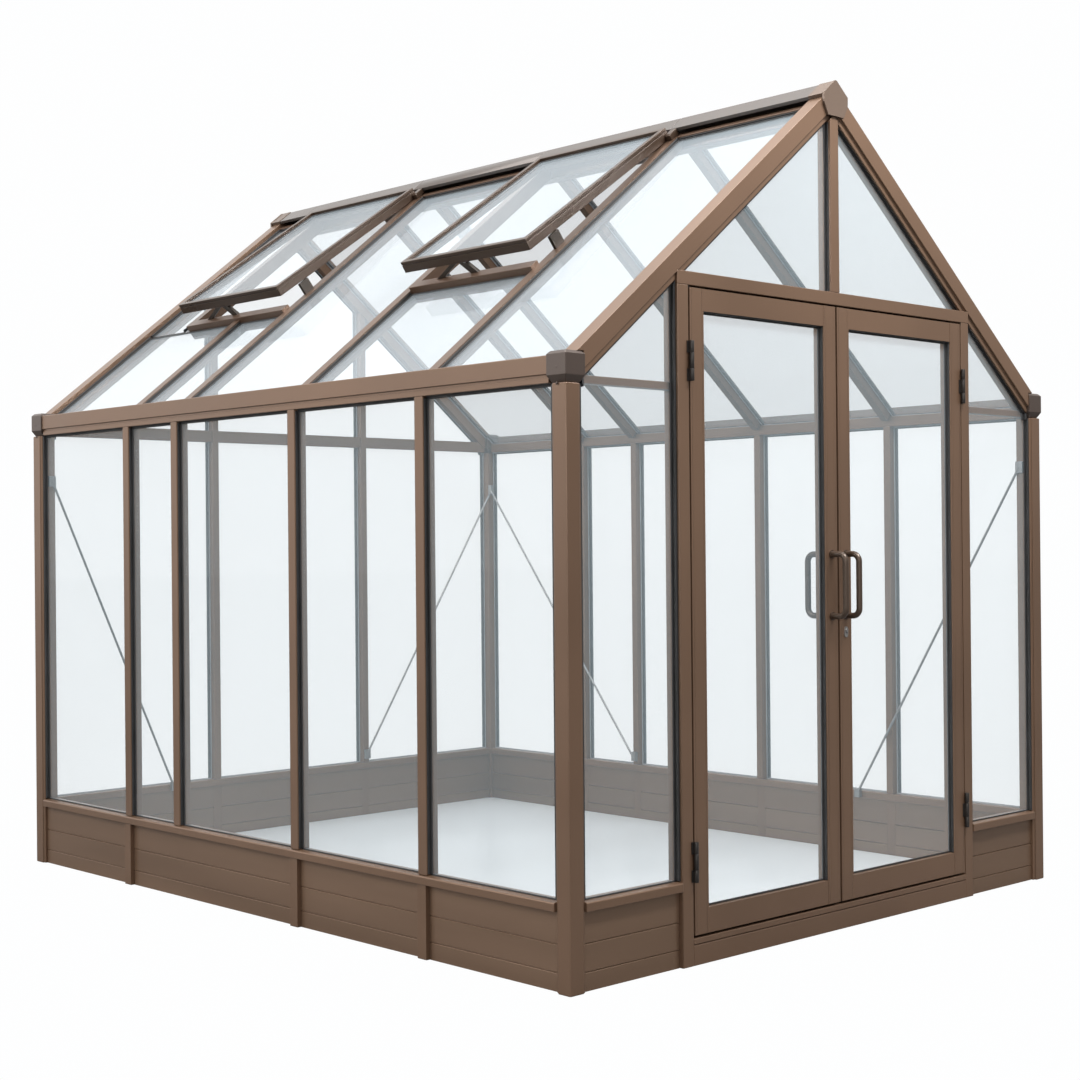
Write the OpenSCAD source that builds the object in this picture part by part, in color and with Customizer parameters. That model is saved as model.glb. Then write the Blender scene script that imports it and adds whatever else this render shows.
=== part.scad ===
// Walk-in glass greenhouse: bronze aluminium frame on a boarded base wall,
// gabled glass roof with two roof vents, pair of glazed doors in one gable.
// X runs across the gable, Y along the ridge (the doors face -Y), Z is up.

/* [Overall] */
// Width across the gable wall, outside the corner posts
width = 2380; // [2300:10:2500]
// Length along the ridge, outside the corner posts
length = 2980; // [2900:10:3100]
// Height of the eave, at the top of its fascia
eave_h = 1733; // [1700:1:1800]
// How far the roof plane meets the wall below the fascia's top
fascia_up = 26; // [22:1:30]
// Slope of the roof in degrees
pitch = 38.5; // [36:0.5:41]

/* [Base wall] */
// Height of the sill's top above the ground
sill_top = 248; // [230:1:280]
// Thickness of the sill
sill_t = 28; // [20:1:34]
// How far the sill stands out past the corner posts
sill_proud = 4; // [0:1:8]
// Height of the lower board joint
board_z1 = 52; // [40:1:70]
// Height of the upper board joint
board_z2 = 130; // [110:1:150]
// How far the boards stand back from the base posts
board_back = 15; // [8:1:20]
// Thickness of the boarded panels
board_t = 30; // [20:1:36]

/* [Frame] */
// Width of a corner post
post_w = 60; // [50:1:70]
// Width of a glazing bar's face
bar_w = 40; // [34:1:46]
// Width of a glazing bar behind the glass
stem_w = 30; // [20:1:32]
// Depth of a glazing bar
bar_d = 50; // [44:1:54]
// Depth of the glass behind a bar's face
glass_in = 18; // [14:1:20]
// Thickness of the glass
glass_t = 4; // [3:1:6]
// Height of a gable rafter's face
rafter_h = 72; // [64:1:80]
// Depth of the gable rafters and door posts
rafter_d = 56; // [50:1:60]
// Height of the rafters' outer face, above its step
rafter_face_h = 54; // [48:1:58]
// How far the rafters stand above the roof bars
roof_drop = 12; // [10:1:16]
// Width of the king mullion in the front gable
king_w = 42; // [36:1:50]
// Distance of the two back posts from the middle
back_post_x = 390; // [330:5:450]

/* [Doors] */
// Half width of the doorway between the door posts
door_half = 694; // [680:2:710]
// Width of a door post
door_post_w = 46; // [40:1:50]
// Height of the header's underside
header_z = 1962; // [1920:2:1970]
// Height of the header
header_h = 40; // [36:1:46]
// Height of the threshold beam
threshold_h = 79; // [70:1:90]
// Overlap of the door stops behind the leaves' gaps
stop_w = 12; // [10:1:14]
// Gap between a leaf and its post and header
door_gap = 6; // [5.5:0.5:8]
// Gap between the two leaves
meeting_gap = 9; // [9:0.5:12]
// Width of a leaf's stiles
stile_w = 60; // [54:1:66]
// Height of a leaf's top rail
top_rail_h = 65; // [56:1:74]
// Height of a leaf's bottom rail
bottom_rail_h = 74; // [64:1:90]
// Thickness of a leaf
leaf_t = 40; // [36:1:42]

/* [Door furniture] */
// Height of the lower leg of a pull handle
pull_z = 985; // [950:5:1020]
// Distance between the legs of a pull handle
pull_l = 194; // [170:2:220]
// Distance from the leaf's face to the middle of the grip
pull_out = 54; // [48:1:62]
// Radius of the handle's tube
pull_r = 9.5; // [8:0.5:11]
// Bend radius of the handle's corners
pull_bend = 24; // [18:1:30]
// Length of a hinge
hinge_l = 116; // [100:2:130]
// Radius of a hinge's knuckles
knuckle_r = 7; // [6:0.5:8]
// Radius of a hinge's pin
pin_r = 3; // [2.5:0.5:3.5]

/* [Roof vents] */
// Length of a vent down the slope
vent_l = 790; // [770:2:820]
// Width of a vent's frame rails
vent_rail = 18; // [16:1:24]
// Depth of a vent's frame
vent_d = 40; // [34:1:44]
// How far the vents stand open, in degrees
vent_open = 4; // [3:0.2:5]
// How far a closed vent laps over its sill rail
vent_lap = 14; // [10:1:18]
// Width of a vent's sill rail
vent_sill_w = 38; // [34:1:42]

/* [Braces] */
// Radius of the diagonal rods
rod_r = 4.5; // [4:0.5:5.5]
// Height of the rods' upper ends
rod_top = 1480; // [1400:10:1560]
// Height of the lower ends of the rods that stand on a post
rod_foot = 285; // [280:5:320]
// Distance of the back wall's left foot from the middle
brace_foot_x = 612; // [580:4:660]
// Distance of the right wall's near foot from the front corner
brace_foot_s = 771; // [740:1:820]

/* [Hidden] */

hw = width / 2;
hl = length / 2;
sp = sin(pitch);
cp = cos(pitch);
tp = tan(pitch);
slope_l = hw / cp;
roof_h = eave_h - fascia_up;
apex = roof_h + hw * tp;

// places of the side wall's bars, measured from the front corner
bars = [628, 1271, 1971, 2295];
base_bars_left = [bars[0], bars[1], bars[3]];
trimmer = 2660;

bar_in = 4;                        // side bars stand back from the posts
glass_a = bar_in + glass_in;       // glass layer, from the outer face
glass_b = glass_a + glass_t;
fit = 0.2;                         // clearance round the panes
beam_bot = eave_h - 76;            // underside of the eave beam
cap_bot = eave_h - 78;             // eave corner caps
cap_top = eave_h + 10;
cap_in = post_w + 11;
cap_out = 5;
bar_top = -roof_drop;              // roof bars and glass, from the roof plane
roof_glass = bar_top - 14;
bar_bot = bar_top - bar_d;
ridge_half = 31;
head = 92;                         // head rail, down the slope from the apex
cap_edge = slope_l - 68;           // lower edge of the ridge capping
vent_t0 = slope_l - head;          // vent hinge line
vent_bays = [[bars[0], bars[1]], [bars[2], trimmer]];
vent_over = 8;                     // vents lap over their bars
sill_t1 = vent_t0 - vent_l + vent_lap;
sill_t0 = sill_t1 - vent_sill_w;

leaf_x0 = door_half - door_gap;
leaf_x1 = meeting_gap / 2;
leaf_z0 = threshold_h + 8;
leaf_z1 = header_z - door_gap;
axis_x = door_half - door_gap / 2;
axis_out = 9;                      // hinge axis in front of the face
hinge_z = [leaf_z0 + 155, leaf_z1 - 155 - hinge_l];

bronze = [0.49, 0.40, 0.33];
dark = [0.33, 0.28, 0.25];
grey = [0.62, 0.62, 0.61];
pane = [0.80, 0.90, 0.95, 0.35];
pale = [0.82, 0.84, 0.85];

// ---- helpers ----

// a flat shape drawn in x and z, drawn out from y0 to y1
module along_y(y0, y1)
  translate([0, y1, 0]) rotate([90, 0, 0]) linear_extrude(y1 - y0) children();

// a flat shape drawn in y and z, drawn out from x0 to x1
module along_x(x0, x1)
  translate([x0, 0, 0]) rotate([90, 0, 90]) linear_extrude(x1 - x0) children();

module block(a, b) translate(a) cube(b - a);

module both_x() { children(); mirror([1, 0, 0]) children(); }
module both_x2() { children(); mirror([1, 0]) children(); }
module both_y() { children(); mirror([0, 1, 0]) children(); }

// a point on the left slope: t up the slope from the wall, w above its plane
function on(t, w) = [-hw + t * cp - w * sp, roof_h + t * sp + w * cp];

// height of a line w above the roof plane, x from the middle
function roof_z(x, w) = apex - abs(x) * tp + w / cp;

// y of a place s from the front corner
function fy(s) = -hl + s;

// edges of the glass bays between bars at the places b, with posts at e ends
function bay_lo(b, i, e) = i == 0 ? e : b[i - 1] + stem_w / 2;
function bay_hi(b, i, e, l) = i == len(b) ? l - e : b[i] - stem_w / 2;

// section of a glazing bar: face cap in front of the glass, narrower stem
module bar_section(w, d)
  polygon([
    [-w / 2, 2], [-w / 2 + 2, 0], [w / 2 - 2, 0], [w / 2, 2],
    [w / 2, glass_in], [stem_w / 2, glass_in], [stem_w / 2, d],
    [-stem_w / 2, d], [-stem_w / 2, glass_in], [-w / 2, glass_in]
  ]);

// ---- base ----

module floor_slab() color(pale)
  linear_extrude(12) difference() {
    square([width - 2 * (board_back + board_t + 1),
            length - 2 * (board_back + board_t + 1)], center = true);
    for (x = [-1, 1], y = [-1, 1])
      translate([x * (hw - post_w / 2), y * (hl - post_w / 2)])
        square(post_w + 2, center = true);
    translate([-door_half - door_post_w - 1, -hl])
      square([2 * (door_half + door_post_w + 1), 62]);
  }

// corner post: square tube with a small set-back flange on both walls
module post_section()
  polygon([
    [0, 2], [2, 0], [post_w - 9, 0], [post_w - 9, 5], [post_w, 5],
    [post_w, post_w], [5, post_w], [5, post_w - 9], [0, post_w - 9]
  ]);

module corner_posts() color(bronze)
  both_x() both_y()
    translate([-hw, -hl, 0]) linear_extrude(cap_bot) post_section();

module board_grooves(face, out)
  for (z = [board_z1, board_z2])
    translate([0, z]) polygon([
      [face, -2.2], [face + out * 3.5, 0], [face, 2.2]
    ]);

// boarded panel along Y at the left wall, from s0 to s1
module side_panel(s0, s1)
  along_y(fy(s0), fy(s1)) difference() {
    translate([-hw + board_back, 0]) square([board_t, sill_top - sill_t]);
    board_grooves(-hw + board_back, 1);
    board_grooves(-hw + board_back + board_t, -1);
  }

// boarded panel along X at the front wall, from x0 to x1
module gable_panel(x0, x1)
  along_x(x0, x1) difference() {
    translate([-hl + board_back, 0]) square([board_t, sill_top - sill_t]);
    board_grooves(-hl + board_back, 1);
    board_grooves(-hl + board_back + board_t, -1);
  }

module side_panels(b)
  for (i = [0 : len(b)])
    side_panel(i == 0 ? post_w : b[i - 1] + bar_w / 2,
               i == len(b) ? length - post_w : b[i] - bar_w / 2);

module side_base_panels() color(bronze) {
  side_panels(base_bars_left);
  mirror([1, 0, 0]) side_panels(bars);
}

module gable_base_panels() color(bronze) {
  both_x() gable_panel(-hw + post_w, -door_half - door_post_w);
  mirror([0, 1, 0]) {
    gable_panel(-back_post_x + bar_w / 2, back_post_x - bar_w / 2);
    both_x() gable_panel(-hw + post_w, -back_post_x - bar_w / 2);
  }
}

module base_post() block([0, -bar_w / 2, 0],
                         [board_back + board_t, bar_w / 2, sill_top - sill_t]);

module base_posts() color(bronze) {
  for (s = base_bars_left) translate([-hw, fy(s), 0]) base_post();
  for (s = bars)
    mirror([1, 0, 0]) translate([-hw, fy(s), 0]) base_post();
  for (x = [-back_post_x, back_post_x])
    translate([x, hl, 0]) rotate([0, 0, -90]) base_post();
}

// sill: a flat weathered board with a small bead in front of the glass
module sill_section()
  polygon([
    [-sill_proud, sill_top - sill_t], [-sill_proud, sill_top - 4],
    [-sill_proud + 3, sill_top - 2], [glass_a - 8, sill_top],
    [post_w - 4, sill_top], [post_w - 4, sill_top - sill_t]
  ]);

module wall_sills() color(bronze) {
  both_x() along_y(-hl + post_w, hl - post_w)
    translate([-hw, 0]) sill_section();
  both_x() along_x(-hw + post_w, -door_half - door_post_w)
    translate([-hl, 0]) sill_section();
  mirror([0, 1, 0]) along_x(-hw + post_w, hw - post_w)
    translate([-hl, 0]) sill_section();
}

// ---- walls ----

module side_wall_bars() color(bronze)
  both_x() for (s = bars)
    translate([-hw + bar_in, fy(s), sill_top]) rotate([0, 0, -90])
      linear_extrude(beam_bot - sill_top) bar_section(bar_w, bar_d);

module back_wall_posts() color(bronze)
  for (x = [-back_post_x, back_post_x])
    intersection() {
      translate([x, hl - bar_in, sill_top]) rotate([0, 0, 180])
        linear_extrude(apex) bar_section(bar_w, bar_d);
      along_y(hl - 90, hl + 10) under_rafters();
    }

// eave beam: fascia with a shadow gap and a lip under it, a gutter behind
// it, a sloping seat for the roof glass and a square rail inside
function seat(x) = roof_h + x * tp + (roof_glass - glass_t) / cp;

module eave_section()
  polygon([
    [0, eave_h - 52], [0, eave_h - 2], [2, eave_h], [6, eave_h],
    [6, eave_h - 44], [14, eave_h - 44], [14, seat(14)], [34, seat(34)],
    [50, seat(34)], [50, beam_bot], [4, beam_bot], [4, eave_h - 60],
    [6, eave_h - 60], [6, eave_h - 52]
  ]);

module eave_beams() color(bronze)
  both_x() along_y(-hl + cap_in, hl - cap_in)
    translate([-hw, 0]) eave_section();

module eave_corner_cap() {
  c = (cap_in - cap_out) / 2;
  w = cap_in + cap_out;
  hull() {
    translate([c, c, cap_bot]) linear_extrude(1)
      square(w - 24, center = true);
    translate([c, c, cap_bot + 21]) linear_extrude(cap_top - cap_bot - 29)
      square(w, center = true);
    translate([c, c, cap_top - 1]) linear_extrude(1)
      square(w - 16, center = true);
  }
}

module eave_corner_caps() color(dark)
  both_x() both_y() translate([-hw, -hl, 0]) eave_corner_cap();

// ---- gables ----

// a strip of one rafter's face, from w0 up to w1 across the slope
module rafter_strip(w0, w1)
  difference() {
    polygon([
      [-hw, roof_h + w1 / cp], [-0.5, roof_z(0.5, w1)],
      [-0.5, roof_z(0.5, w0)], [-hw, roof_h + w0 / cp]
    ]);
    translate([-hw - 20, 0]) square([20 + cap_in, cap_top]);
  }

module header_face()
  translate([-door_half - door_post_w, header_z])
    square([2 * (door_half + door_post_w), header_h]);

// the rafter's outer face stands 8 mm in front of its inner strip
module rafter(cut) {
  along_y(-hl, -hl + rafter_d) difference() {
    rafter_strip(-rafter_face_h, 0);
    if (cut) header_face();
  }
  along_y(-hl + 8, -hl + rafter_d) difference() {
    rafter_strip(-rafter_h, -rafter_face_h + 1);
    if (cut) header_face();
  }
}

module front_rafters() color(bronze) both_x() rafter(true);
module back_rafters() color(bronze) mirror([0, 1, 0]) both_x() rafter(false);

// height just under a gable's rafters, x from the middle
function under_rafter(x) = roof_z(x, -rafter_h - fit);

// everything in a gable that lies under its rafters
module under_rafters()
  polygon([
    [-hw, 0], [hw, 0], [hw, under_rafter(hw)], [0, under_rafter(0)],
    [-hw, under_rafter(hw)]
  ]);

module king_mullion() color(bronze)
  intersection() {
    translate([0, -hl, header_z + header_h]) linear_extrude(apex)
      polygon([
        [-king_w / 2, 2], [-king_w / 2 + 2, 0], [king_w / 2 - 2, 0],
        [king_w / 2, 2], [king_w / 2, glass_a], [stem_w / 2, glass_a],
        [stem_w / 2, rafter_d], [-stem_w / 2, rafter_d],
        [-stem_w / 2, glass_a], [-king_w / 2, glass_a]
      ]);
    along_y(-hl - 10, -hl + 90) under_rafters();
  }

// inner rail at eave level, from x0 to x1 between the rafters
module gable_rail(x0, x1, h)
  along_y(-hl + glass_b, -hl + 51) intersection() {
    translate([x0, beam_bot]) square([x1 - x0, h]);
    under_rafters();
  }

// beside the doorway, and across the back gable
module gable_rails() color(bronze) {
  both_x() gable_rail(-hw + cap_in, -door_half - door_post_w, 24);
  mirror([0, 1, 0]) {
    gable_rail(-back_post_x + stem_w / 2, back_post_x - stem_w / 2, 48);
    both_x() gable_rail(-hw + cap_in, -back_post_x - stem_w / 2, 48);
  }
}

// ---- roof ----

// a roof bar on the left slope at s, from t0 up to t1: a cap over the
// glass, and a stem that at the ridge runs on under the head rail
module roof_bar(s, t0, t1, at_ridge) {
  stem_t0 = max(t0, 36);
  along_y(fy(s) - bar_w / 2, fy(s) + bar_w / 2) polygon([
    on(t0, roof_glass + fit), on(t0, bar_top - 2), on(t0 + 2, bar_top),
    on(t1, bar_top), on(t1, roof_glass + fit)
  ]);
  along_y(fy(s) - stem_w / 2, fy(s) + stem_w / 2) polygon(concat(
    [on(t1, bar_bot), on(stem_t0, bar_bot), on(stem_t0, roof_glass + 1),
     on(t1, roof_glass + 1)],
    at_ridge ? [on(t1, roof_glass), [-ridge_half, roof_z(ridge_half, roof_glass)],
                [-ridge_half, roof_z(ridge_half, bar_bot)]] : []
  ));
}

module left_roof_bars() color(bronze) {
  for (s = [bars[0], bars[1], bars[2]])
    roof_bar(s, 8, slope_l - head, true);
  roof_bar(bars[3], 8, sill_t0, false);
  roof_bar(trimmer, sill_t1, slope_l - head, true);
}

module right_roof_bars() color(bronze)
  mirror([1, 0, 0]) for (s = bars) roof_bar(s, 8, slope_l - head, true);

function mirror_pt(p) = [-p[0], p[1]];

// points on the left, then the same points mirrored in reverse order
function both_sides(left) =
  concat(left, [for (i = [len(left) - 1 : -1 : 0]) mirror_pt(left[i])]);

// ridge beam with the head rails that hold the top edge of the glass; its
// top is flat where the capping stands on it
ridge_flat = 12;
rail_top = bar_top - 2;
groove_w = bar_top - 12;

module ridge_beam() color(bronze)
  along_y(-hl + rafter_d, hl - rafter_d) polygon(both_sides([
    [-ridge_half, roof_z(ridge_half, bar_bot)],
    [-ridge_half, roof_z(ridge_half, roof_glass + fit)],
    on(slope_l - head, roof_glass + fit), on(slope_l - head, rail_top),
    on(cap_edge - 4, rail_top), on(cap_edge - 4, groove_w),
    [-ridge_flat, roof_z(ridge_flat, groove_w)]
  ]));

// ridge capping in lengths, with a small gap at each joint: a folded shell
// with turned-down edges, on a web that stands on the ridge beam
cap_joints = [rafter_d, 645, 1315, 2015, 2725, length - rafter_d];

web = ridge_flat - 2;

module capping_section() {
  polygon(concat(both_sides([
    on(cap_edge + 4, 6), on(cap_edge + 4, -2), on(cap_edge, -2),
    on(cap_edge, 10), [0, roof_z(0, 10)]
  ]), [[0, roof_z(0, 6)]]));
  polygon(both_sides([
    [-web, roof_z(ridge_flat, groove_w)], [-web, roof_z(web, 8)],
    [0, roof_z(0, 8)]
  ]));
}

module ridge_capping() color(bronze)
  for (i = [0 : len(cap_joints) - 2])
    along_y(fy(cap_joints[i]) + 1, fy(cap_joints[i + 1]) - 1)
      capping_section();

// ridge end cap: house-shaped plate with a return over the ridge
module ridge_end_cap() {
  top = roof_z(0, 10) + 3;
  along_y(-hl - 8, -hl) polygon(both_sides([
    [-40, top - 114], [-60, top - 76], [-61, top - 47], [-4, top - 1]
  ]));
  along_y(-hl - 1, -hl + rafter_d) polygon(concat(both_sides([
    on(cap_edge - 2, 0.5), on(cap_edge - 2, 12), [0, roof_z(0, 12)]
  ]), [[0, roof_z(0, 0.5)]]));
}

module ridge_end_caps() color(dark) both_y() ridge_end_cap();

// ---- doorway ----

// posts, header and threshold carry a stop behind the leaves
stop_a = leaf_t + 6;               // front of the stops, from the outer face

module door_posts() color(bronze)
  both_x() translate([-door_half - door_post_w, -hl, 0])
    linear_extrude(header_z) polygon([
      [0, 2], [2, 0], [door_post_w, 0], [door_post_w, stop_a],
      [door_post_w + stop_w, stop_a], [door_post_w + stop_w, rafter_d],
      [0, rafter_d]
    ]);

module door_header() color(bronze) {
  along_y(-hl, -hl + rafter_d) header_face();
  block([-door_half + stop_w, -hl + stop_a, header_z - stop_w],
        [door_half - stop_w, -hl + rafter_d, header_z + 1]);
}

module threshold() color(bronze) {
  difference() {
    block([-door_half, -hl, 0], [door_half, -hl + stop_a, threshold_h]);
    block([-door_half - 1, -hl - 1, 59], [door_half + 1, -hl + 3, 61.5]);
  }
  block([-door_half + stop_w, -hl + stop_a - 1, 0],
        [door_half - stop_w, -hl + rafter_d, threshold_h]);
  block([-door_half + stop_w, -hl + stop_a, threshold_h - 1],
        [door_half - stop_w, -hl + rafter_d, threshold_h + 16]);
}

// ---- glass ----

module side_glass()
  for (i = [0 : len(bars)])
    block([-hw + glass_a, fy(bay_lo(bars, i, post_w)), sill_top],
          [-hw + glass_b, fy(bay_hi(bars, i, post_w, length)), beam_bot]);

module left_wall_glass() color(pane) side_glass();
module right_wall_glass() color(pane) mirror([1, 0, 0]) side_glass();

module front_glass() color(pane)
  both_x() along_y(-hl + glass_a, -hl + glass_b) {
    polygon([
      [-hw + post_w, sill_top], [-door_half - door_post_w, sill_top],
      [-door_half - door_post_w, under_rafter(door_half + door_post_w)],
      [-hw + cap_in, under_rafter(hw - cap_in)],
      [-hw + cap_in, cap_bot], [-hw + post_w, cap_bot]
    ]);
    polygon([
      [-(under_rafter(0) - header_z - header_h) / tp, header_z + header_h],
      [-stem_w / 2, header_z + header_h],
      [-stem_w / 2, under_rafter(stem_w / 2)]
    ]);
  }

module back_glass() color(pane)
  mirror([0, 1, 0]) along_y(-hl + glass_a, -hl + glass_b) {
    polygon([
      [-back_post_x + stem_w / 2, sill_top],
      [back_post_x - stem_w / 2, sill_top],
      [back_post_x - stem_w / 2, under_rafter(back_post_x - stem_w / 2)],
      [0, under_rafter(0)],
      [-back_post_x + stem_w / 2, under_rafter(back_post_x - stem_w / 2)]
    ]);
    both_x2() polygon([
      [-hw + post_w, sill_top], [-back_post_x - stem_w / 2, sill_top],
      [-back_post_x - stem_w / 2, under_rafter(back_post_x + stem_w / 2)],
      [-hw + cap_in, under_rafter(hw - cap_in)],
      [-hw + cap_in, cap_bot], [-hw + post_w, cap_bot]
    ]);
  }

// a pane on the left slope, from s0 to s1 and from t0 to t1
module roof_pane(s0, s1, t0, t1)
  along_y(fy(s0), fy(s1)) polygon([
    on(t0, roof_glass - glass_t), on(t0, roof_glass),
    on(t1, roof_glass), on(t1, roof_glass - glass_t)
  ]);

pane_t0 = 20;
pane_t1 = slope_l - 66;
pane_in = stem_w / 2 + fit;        // pane edge from a bar's middle

// the slope's end panes are notched round the eave corner caps
module notched()
  difference() {
    children();
    both_y() block([-hw - 10, -hl - 10, 0],
                   [-hw + cap_in + 1, -hl + cap_in + 1, cap_top + 1]);
  }

module left_roof_glass() color(pane) notched() {
  roof_pane(rafter_d, bars[0] - pane_in, pane_t0, pane_t1);
  roof_pane(bars[0] + pane_in, bars[1] - pane_in, pane_t0, sill_t0);
  roof_pane(bars[1] + pane_in, bars[2] - pane_in, pane_t0, pane_t1);
  roof_pane(bars[2] + pane_in, bars[3] - pane_in, pane_t0, sill_t0);
  roof_pane(bars[3] + pane_in, length - rafter_d, pane_t0, sill_t0 - 1);
  roof_pane(trimmer + pane_in, length - rafter_d, sill_t0 + 1, pane_t1);
}

module right_roof_glass() color(pane)
  mirror([1, 0, 0]) notched() {
    roof_pane(rafter_d, bars[0] - pane_in, pane_t0, pane_t1);
    for (i = [0 : 2])
      roof_pane(bars[i] + pane_in, bars[i + 1] - pane_in, pane_t0, pane_t1);
    roof_pane(bars[3] + pane_in, length - rafter_d, pane_t0, pane_t1);
  }

// ---- roof vents ----

// places children in a vent's own plane: x down the slope from the hinge,
// y along the ridge from the front corner, z up from the frame's underside
module vent_plane()
  translate([on(vent_t0, bar_top + 0.3)[0], -hl, on(vent_t0, bar_top + 0.3)[1]])
    rotate([0, -pitch + vent_open, 0]) mirror([1, 0, 0]) children();

module vent_frame(a, b) {
  difference() {
    block([0, a, 0], [vent_l, b, vent_d]);
    block([vent_rail, a + vent_rail, -1],
          [vent_l - vent_rail, b - vent_rail, vent_d + 1]);
    // groove round the outer faces
    block([-1, a - 1, vent_d - 13], [vent_l + 1, a + 2.5, vent_d - 11]);
    block([-1, b - 2.5, vent_d - 13], [vent_l + 1, b + 1, vent_d - 11]);
    block([vent_l - 2.5, a - 1, vent_d - 13],
          [vent_l + 1, b + 1, vent_d - 11]);
  }
}

module roof_vent_frames() color(bronze)
  for (v = vent_bays) vent_plane()
    vent_frame(v[0] + bar_w / 2 - vent_over, v[1] - bar_w / 2 + vent_over);

module roof_vent_glass() color(pane)
  for (v = vent_bays) vent_plane()
    block([vent_rail, v[0] + bar_w / 2 - vent_over + vent_rail, vent_d - 16],
          [vent_l - vent_rail, v[1] - bar_w / 2 + vent_over - vent_rail,
           vent_d - 12]);

// hinge rail along each vent's top edge, with a cover over its near end
module vent_hinge_rails() color(bronze)
  for (v = vent_bays) {
    s0 = v[0] + bar_w / 2 - vent_over;
    s1 = v[1] - bar_w / 2 + vent_over;
    along_y(fy(s0), fy(s1)) polygon([
      on(vent_t0 + 2, rail_top), on(vent_t0 + 2, 0), on(cap_edge - 2, 0),
      on(cap_edge - 2, rail_top)
    ]);
    along_y(fy(s0 - 26), fy(s0 - 2)) polygon([
      on(vent_t0 - 22, bar_top + 0.2), on(vent_t0 - 22, 6),
      on(vent_t0 - 14, 10), on(cap_edge - 2, 10),
      on(cap_edge - 2, bar_top + 0.2)
    ]);
  }

module vent_sills() color(bronze)
  for (v = vent_bays)
    along_y(fy(v[0]) + bar_w / 2, fy(v[1]) - bar_w / 2) polygon([
      on(sill_t0, bar_bot), on(sill_t0, -1), on(sill_t0 + 1, 0),
      on(sill_t1, 0), on(sill_t1, bar_bot)
    ]);

// height of the gap under an open vent, at t up the slope
function vent_gap(t) = (vent_t0 - t) * tan(vent_open);

// places children at s and t, and w above the roof plane: x up the slope,
// y along the ridge, z away from the roof
module on_slope(s, t, w)
  translate([on(t, w)[0], fy(s), on(t, w)[1]])
    rotate([0, -pitch, 0]) children();

// channel strut from the sill to the vent, leaning by dy along the ridge
module strut(dy, h)
  difference() {
    translate([-6, 0, 0]) rotate([90, 0, 90]) linear_extrude(12)
      polygon([[-17, 0], [17, 0], [dy + 17, h], [dy - 17, h]]);
    translate([-3, 0, 0]) rotate([90, 0, 90]) linear_extrude(10)
      polygon([[-13, -1], [13, -1], [dy + 13, h + 1], [dy - 13, h + 1]]);
  }

// each vent stands on two struts, and on a block on its near bar
module vent_stays() color(dark)
  for (v = vent_bays) {
    t = sill_t1 - 6;
    h = vent_gap(t + 6);
    on_slope(v[1] - bar_w / 2 - 141, t, 0) strut(-95, h + bar_top);
    on_slope(v[1] - bar_w / 2 - 315, t, 0) strut(30, h + bar_top);
    on_slope(v[0] + 6, sill_t1 + 82, bar_top)
      cube([46, 12, vent_gap(sill_t1 + 128)]);
  }

// ---- braces ----

module rod(a, b) {
  d = b - a;
  l = norm(d);
  translate(a) rotate([0, acos(d[2] / l), atan2(d[1], d[0])])
    cylinder(r = rod_r, h = l, $fn = 24);
}

// diagonal rods in the plane inside the walls, with a lug at each end; two
// of them stand on a sill, the other two on a post or bar
module brace_rods() color(grey) {
  q = post_w + 7;
  sill_in = post_w - 4;
  foot = sill_top - 2;
  // back gable
  both_x() block([-hw + post_w - 30, hl - q - 3, rod_top - 20],
                 [-hw + post_w - 2, hl - post_w, rod_top + 20]);
  rod([-hw + post_w - 16, hl - q, rod_top],
        [-brace_foot_x - 4, hl - q, foot]);
  block([-brace_foot_x - 12, hl - q - 3, foot - 22],
        [-brace_foot_x + 12, hl - sill_in, foot + 12]);
  rod([hw - post_w + 16, hl - q, rod_top],
        [back_post_x - 6, hl - q, rod_foot]);
  block([back_post_x - 12, hl - q - 3, rod_foot - 20],
        [back_post_x + 12, hl - bar_in - bar_d, rod_foot + 20]);
  // right wall, at its two ends
  rod([hw - q, hl - q - 16, rod_top],
        [hw - q, fy(bars[2]) + 6, rod_foot]);
  block([hw - q - 3, hl - q - 26, rod_top - 20],
        [hw - post_w, hl - q - 4, rod_top + 20]);
  block([hw - q - 3, fy(bars[2]) - 12, rod_foot - 20],
        [hw - bar_in - bar_d, fy(bars[2]) + 12, rod_foot + 20]);
  rod([hw - q, -hl + post_w - 16, rod_top],
        [hw - q, fy(brace_foot_s) - 4, foot]);
  block([hw - q - 3, -hl + post_w - 30, rod_top - 20],
        [hw - post_w, -hl + post_w - 2, rod_top + 20]);
  block([hw - q - 3, fy(brace_foot_s) - 12, foot - 22],
        [hw - sill_in, fy(brace_foot_s) + 12, foot + 12]);
}

// ---- hinges ----

k_fix = (hinge_l - 46) / 2;        // length of a fixed knuckle

// the left post's two hinges: two knuckles, the pin and a plate
module post_hinge(z) translate([-axis_x, -hl - axis_out, z]) {
  for (z0 = [0, hinge_l - k_fix]) {
    translate([0, 0, z0]) cylinder(r = knuckle_r, h = k_fix, $fn = 40);
    block([-knuckle_r, 0, z0], [0, axis_out, z0 + k_fix]);
    block([-12, axis_out - 2.5, z0], [-knuckle_r + 1, axis_out, z0 + k_fix]);
  }
  cylinder(r = pin_r, h = hinge_l, $fn = 32);
}

// the leaf's knuckle, bored for the pin, and its plate
module leaf_hinge(z) translate([-axis_x, -hl - axis_out, z + k_fix + 0.5]) {
  k = hinge_l - 2 * k_fix - 1;
  difference() {
    union() {
      cylinder(r = knuckle_r, h = k, $fn = 40);
      block([0, 0, 0], [knuckle_r, axis_out, k]);
      block([knuckle_r - 1, axis_out - 2.5, 0], [13, axis_out, k]);
    }
    translate([0, 0, -1]) cylinder(r = pin_r + 0.06, h = k + 2, $fn = 32);
  }
}

module post_hinges() color(dark)
  both_x() for (z = hinge_z) post_hinge(z);
module left_door_hinges() color(dark) for (z = hinge_z) leaf_hinge(z);
module right_door_hinges() color(dark) mirror([1, 0, 0])
  for (z = hinge_z) leaf_hinge(z);

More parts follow.
